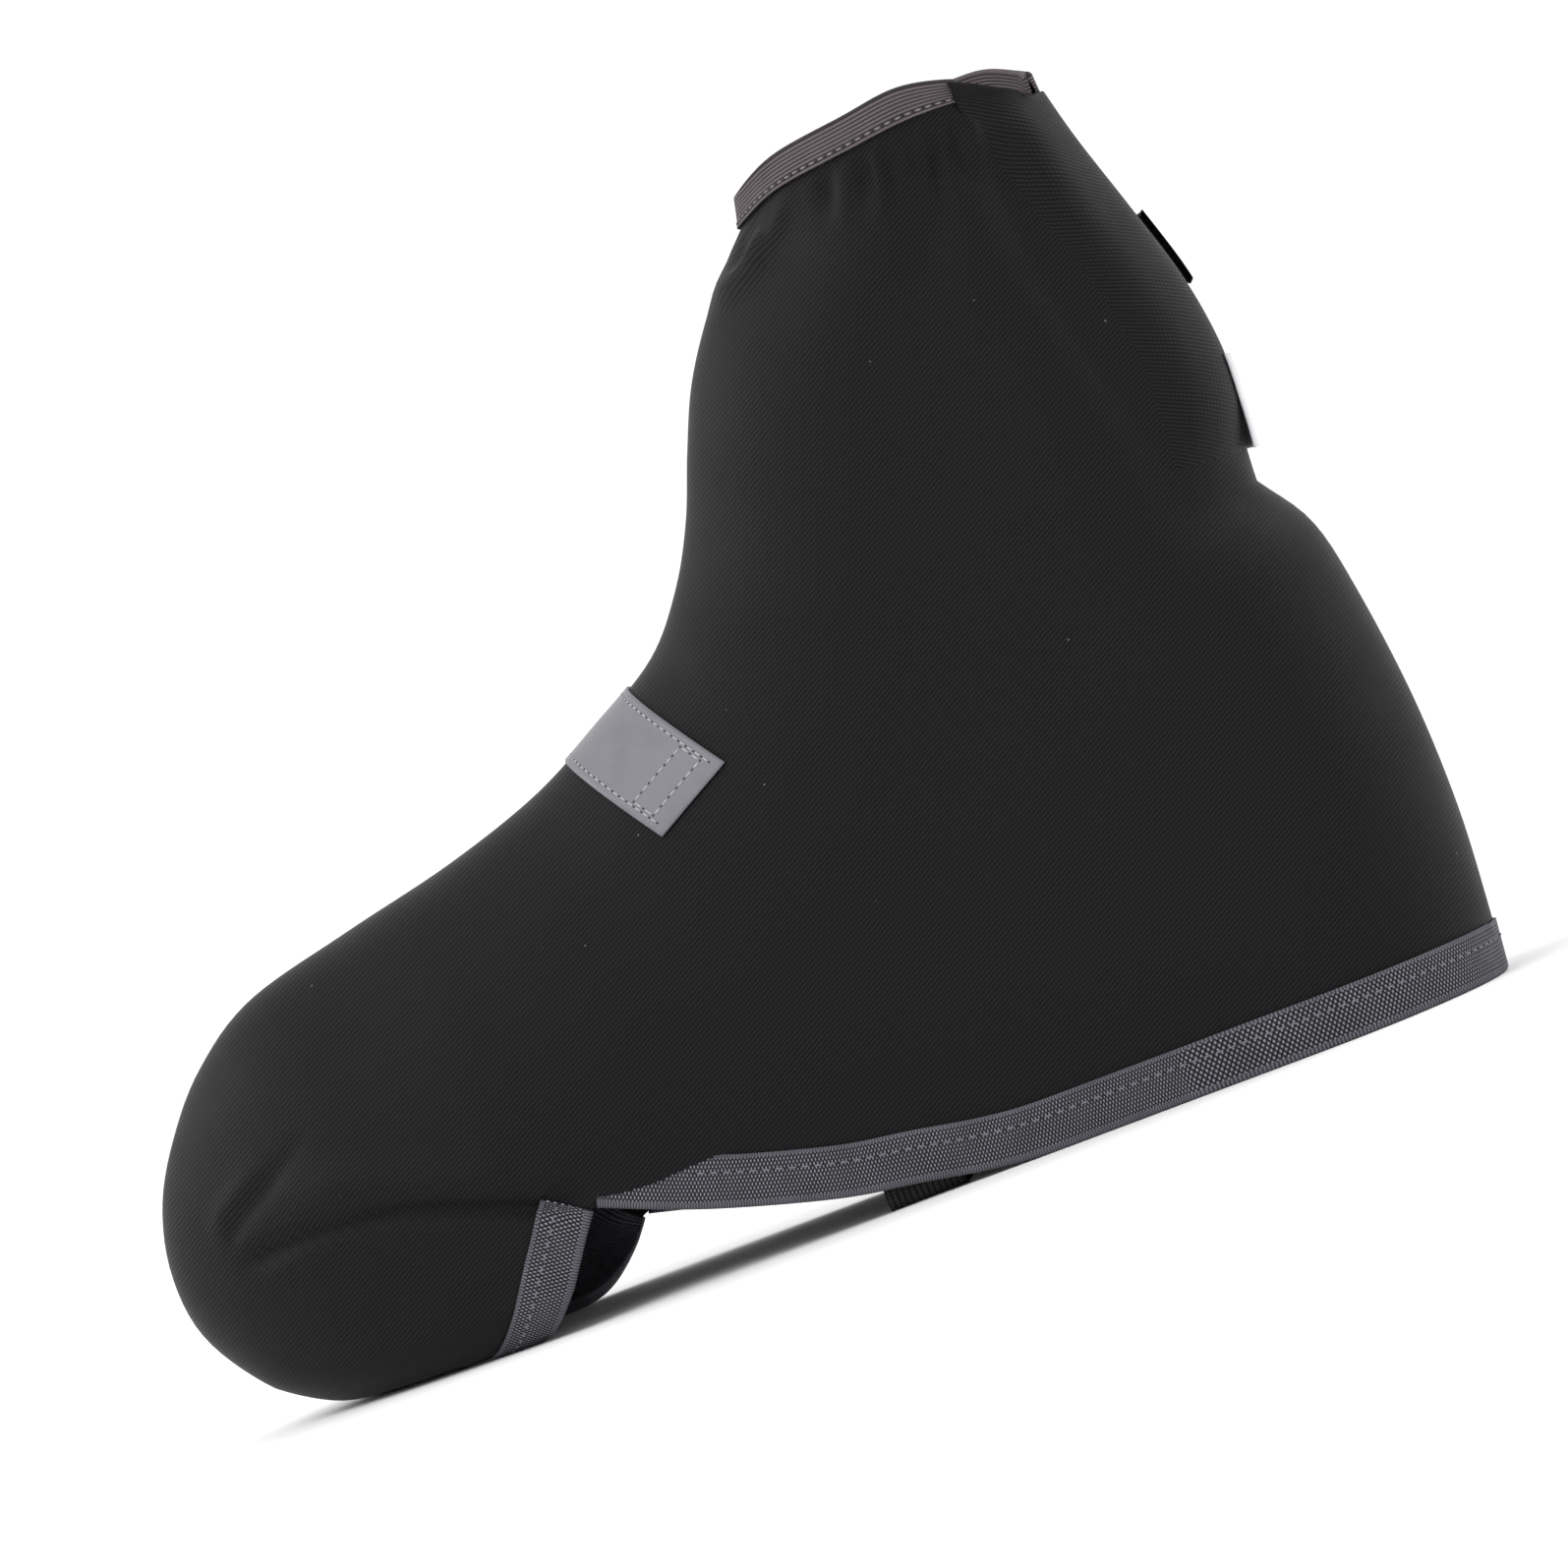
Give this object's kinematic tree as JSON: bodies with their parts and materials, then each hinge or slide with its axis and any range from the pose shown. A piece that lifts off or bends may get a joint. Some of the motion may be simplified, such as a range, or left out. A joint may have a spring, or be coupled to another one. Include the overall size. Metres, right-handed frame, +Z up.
{
  "type": "shoe cover",
  "caption": "Waterproof fabric shoe cover: open collar with ribbed elastic, back flap closure, toe pocket, bound lower edges, reflective strips and an elastic strap under the foot.",
  "frame": {"origin": "centre of the footprint box, on the floor that the cover stands on", "axes": "+X to the heel, -X to the toe, -Y the side that the picture shows, +Z up"},
  "size_m": [0.3439, 0.1002, 0.2574],
  "materials": {
    "shell_fabric": "matte black coated twill",
    "edge_tape": "dark grey woven tape",
    "collar_elastic": "warm grey ribbed elastic",
    "reflective": "grey reflective film on cloth",
    "rear_reflective": "light grey reflective film on cloth",
    "hook_tape": "black hook and loop tape",
    "strap_elastic": "black ribbed elastic"
  },
  "bodies": {
    "root": {"upper": "shell_fabric", "closure_flap": "shell_fabric", "hem_binding": "edge_tape", "toe_binding": "edge_tape", "collar_binding": "collar_elastic", "instep_strip": "reflective", "rear_reflective_strip": "rear_reflective", "closure_tab": "hook_tape", "underfoot_strap": "strap_elastic"}
  },
  "joints": []
}
